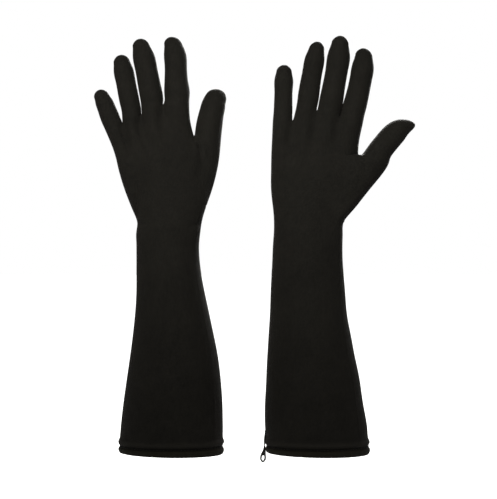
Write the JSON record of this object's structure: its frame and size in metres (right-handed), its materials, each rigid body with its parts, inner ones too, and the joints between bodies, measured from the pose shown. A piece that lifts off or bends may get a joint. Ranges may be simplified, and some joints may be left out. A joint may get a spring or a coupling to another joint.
{
  "type": "opera gloves",
  "caption": "Pair of long stretch-jersey opera gloves, fingers up and filled out as worn, with arm gores, fourchettes, turned hems and a hanging loop.",
  "frame": {"origin": "centre of the left glove's arm opening, in the plane of the two hems", "axes": "+Z from the hems to the fingertips, +X from the left-hand glove to the right-hand glove, +Y away from the viewer; the left glove shows the back of its hand at -Y and the right glove its palm"},
  "size_m": [0.3087, 0.0782, 0.4126],
  "materials": {
    "jersey": "matte fine-knit stretch jersey, warm black",
    "side_jersey": "matte fine-knit stretch jersey, cut on the cross",
    "hem_jersey": "matte jersey turned over an elastic and stitched",
    "elastic": "flat braided elastic",
    "thread": "black polyester sewing thread",
    "loop_tape": "black woven tape and satin cord"
  },
  "bodies": {
    "left_arm": {"left_arm_back_panel": "jersey", "left_arm_gore": "side_jersey", "left_arm_palm_panel": "jersey", "left_hem_band": "hem_jersey", "left_hem_elastic": "elastic", "left_hem_stitching": "thread"},
    "left_hand": {"left_hand_back_panel": "jersey", "left_hand_palm_panel": "jersey"},
    "left_little": {"left_little_back_strip": "jersey", "left_little_fourchette_by_ring": "side_jersey", "left_little_palm_strip": "jersey"},
    "left_ring": {"left_ring_back_strip": "jersey", "left_ring_fourchette_by_little": "side_jersey", "left_ring_fourchette_by_middle": "side_jersey", "left_ring_palm_strip": "jersey"},
    "left_middle": {"left_middle_back_strip": "jersey", "left_middle_fourchette_by_index": "side_jersey", "left_middle_fourchette_by_ring": "side_jersey", "left_middle_palm_strip": "jersey"},
    "left_index": {"left_index_back_strip": "jersey", "left_index_fourchette_by_middle": "side_jersey", "left_index_palm_strip": "jersey"},
    "left_thumb": {"left_thumb_back_half": "jersey", "left_thumb_palm_half": "jersey"},
    "right_arm": {"right_arm_back_panel": "jersey", "right_arm_gore": "side_jersey", "right_arm_palm_panel": "jersey", "right_hem_band": "hem_jersey", "right_hem_elastic": "elastic", "right_hem_stitching": "thread", "right_loop_tab": "loop_tape"},
    "right_hand": {"right_hand_back_panel": "jersey", "right_hand_palm_panel": "jersey"},
    "right_little": {"right_little_back_strip": "jersey", "right_little_fourchette_by_ring": "side_jersey", "right_little_palm_strip": "jersey"},
    "right_ring": {"right_ring_back_strip": "jersey", "right_ring_fourchette_by_little": "side_jersey", "right_ring_fourchette_by_middle": "side_jersey", "right_ring_palm_strip": "jersey"},
    "right_middle": {"right_middle_back_strip": "jersey", "right_middle_fourchette_by_index": "side_jersey", "right_middle_fourchette_by_ring": "side_jersey", "right_middle_palm_strip": "jersey"},
    "right_index": {"right_index_back_strip": "jersey", "right_index_fourchette_by_middle": "side_jersey", "right_index_palm_strip": "jersey"},
    "right_thumb": {"right_thumb_back_half": "jersey", "right_thumb_palm_half": "jersey"},
    "hang_loop": {"right_hang_loop": "loop_tape"}
  },
  "joints": [
    {"name": "left_wrist_flex", "type": "hinge", "parent": "left_arm", "child": "left_hand", "pos_m": [-0.0025, 0.021, 0.214], "axis": [-1, 0, 0], "range_deg": [0, 60]},
    {"name": "left_little_flex", "type": "hinge", "parent": "left_hand", "child": "left_little", "pos_m": [-0.0532, 0.0081, 0.3146], "axis": [-0.9336, 0, -0.3584], "range_deg": [0, 75]},
    {"name": "left_ring_flex", "type": "hinge", "parent": "left_hand", "child": "left_ring", "pos_m": [-0.0378, 0.0093, 0.3279], "axis": [-0.9829, 0, -0.184], "range_deg": [0, 75]},
    {"name": "left_middle_flex", "type": "hinge", "parent": "left_hand", "child": "left_middle", "pos_m": [-0.0185, 0.0102, 0.336], "axis": [-0.9866, 0, -0.1633], "range_deg": [0, 75]},
    {"name": "left_index_flex", "type": "hinge", "parent": "left_hand", "child": "left_index", "pos_m": [0.0048, 0.0104, 0.339], "axis": [-0.998, 0, -0.0628], "range_deg": [0, 75]},
    {"name": "left_thumb_flex", "type": "hinge", "parent": "left_hand", "child": "left_thumb", "pos_m": [0.03707, 0.02357, 0.30715], "axis": [-0.9885, 0, 0.151], "range_deg": [0, 45]},
    {"name": "right_wrist_flex", "type": "hinge", "parent": "right_arm", "child": "right_hand", "pos_m": [0.13305, -0.021, 0.214], "axis": [1, 0, 0], "range_deg": [0, 60]},
    {"name": "right_little_flex", "type": "hinge", "parent": "right_hand", "child": "right_little", "pos_m": [0.1086, -0.0086, 0.3235], "axis": [0.9993, 0, -0.0384], "range_deg": [0, 75]},
    {"name": "right_ring_flex", "type": "hinge", "parent": "right_hand", "child": "right_ring", "pos_m": [0.1315, -0.0095, 0.333], "axis": [0.988, 0, -0.1547], "range_deg": [0, 75]},
    {"name": "right_middle_flex", "type": "hinge", "parent": "right_hand", "child": "right_middle", "pos_m": [0.153, -0.0103, 0.3297], "axis": [0.9893, 0, -0.1461], "range_deg": [0, 75]},
    {"name": "right_index_flex", "type": "hinge", "parent": "right_hand", "child": "right_index", "pos_m": [0.1756, -0.0103, 0.3255], "axis": [0.9857, 0, -0.1685], "range_deg": [0, 75]},
    {"name": "right_thumb_flex", "type": "hinge", "parent": "right_hand", "child": "right_thumb", "pos_m": [0.19725, -0.02009, 0.28315], "axis": [0.813, 0, -0.5823], "range_deg": [0, 45]},
    {"name": "pair_spread", "type": "slide", "parent": "left_arm", "child": "right_arm", "axis": [1, 0, 0], "range_m": [0, 0.12]},
    {"name": "loop_swing", "type": "hinge", "parent": "right_arm", "child": "hang_loop", "pos_m": [0.0913, 0, 0.007], "axis": [0, 1, 0], "range_deg": [0, 80]}
  ]
}
